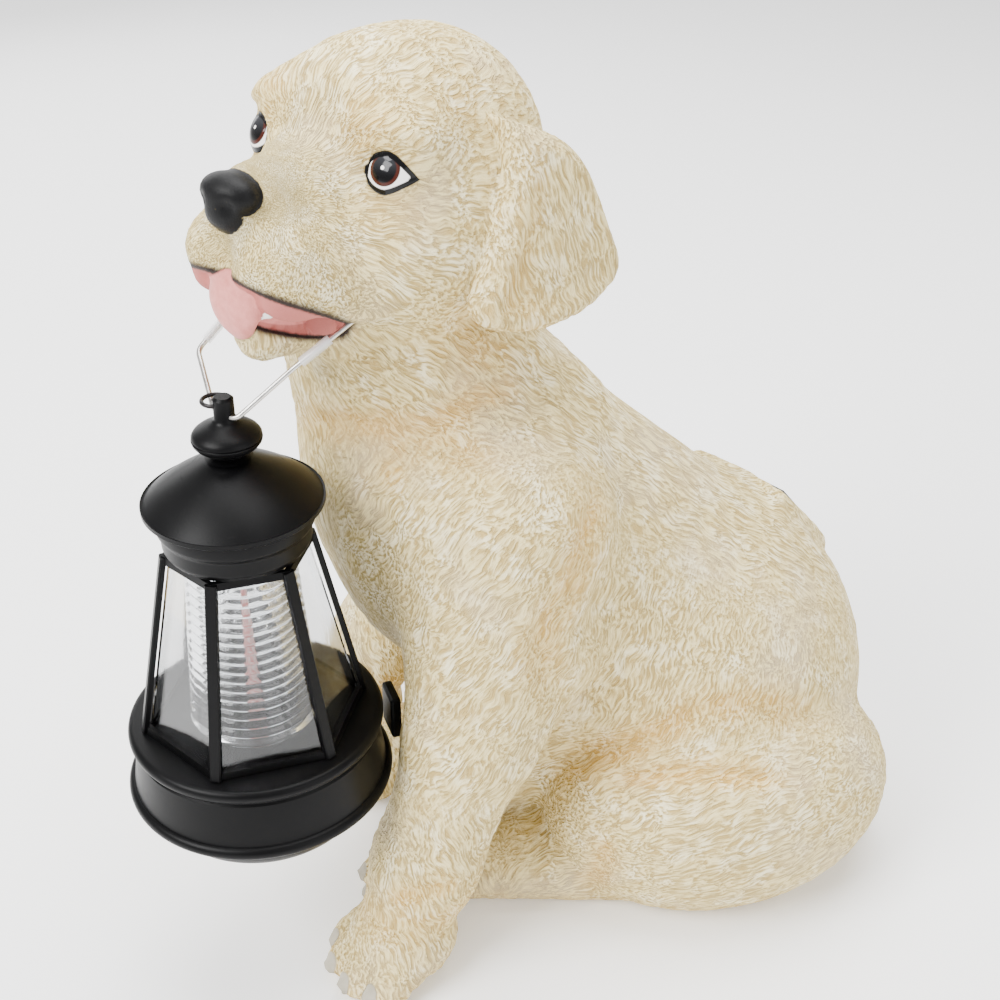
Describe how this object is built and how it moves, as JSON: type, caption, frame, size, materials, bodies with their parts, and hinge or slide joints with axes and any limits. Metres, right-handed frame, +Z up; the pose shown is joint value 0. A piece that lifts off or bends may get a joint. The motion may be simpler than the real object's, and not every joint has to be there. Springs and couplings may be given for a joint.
{
  "type": "solar dog statue",
  "caption": "Sitting puppy garden statue in cast resin, head turned to its left, holding a black solar lantern by its wire bail in its mouth.",
  "frame": {"origin": "on the ground, under the middle of the whole statue's box", "axes": "-Y towards the puppy's chest and lantern, +X to the puppy's left, +Z up"},
  "size_m": [0.1696, 0.2596, 0.2889],
  "materials": {
    "resin": "hand-painted cast resin, cream fur with ochre in the creases",
    "black_plastic": "satin black",
    "clear_plastic": "clear moulded plastic",
    "steel_wire": "bright drawn wire",
    "dark_wire": "blackened",
    "solar_cell": "dark cell under a clear coat"
  },
  "bodies": {
    "root": {"dog": "resin", "lantern_drum": "black_plastic", "lantern_cage": "black_plastic", "lantern_collar": "black_plastic", "lantern_roof": "black_plastic", "lantern_finial": "black_plastic", "lantern_switch": "black_plastic", "lantern_panes": "clear_plastic", "lantern_lens": "clear_plastic", "bail_sleeve_left": "clear_plastic", "bail_sleeve_right": "clear_plastic", "bail": "steel_wire", "hanging_ring": "dark_wire", "solar_panel": "solar_cell"}
  },
  "joints": []
}
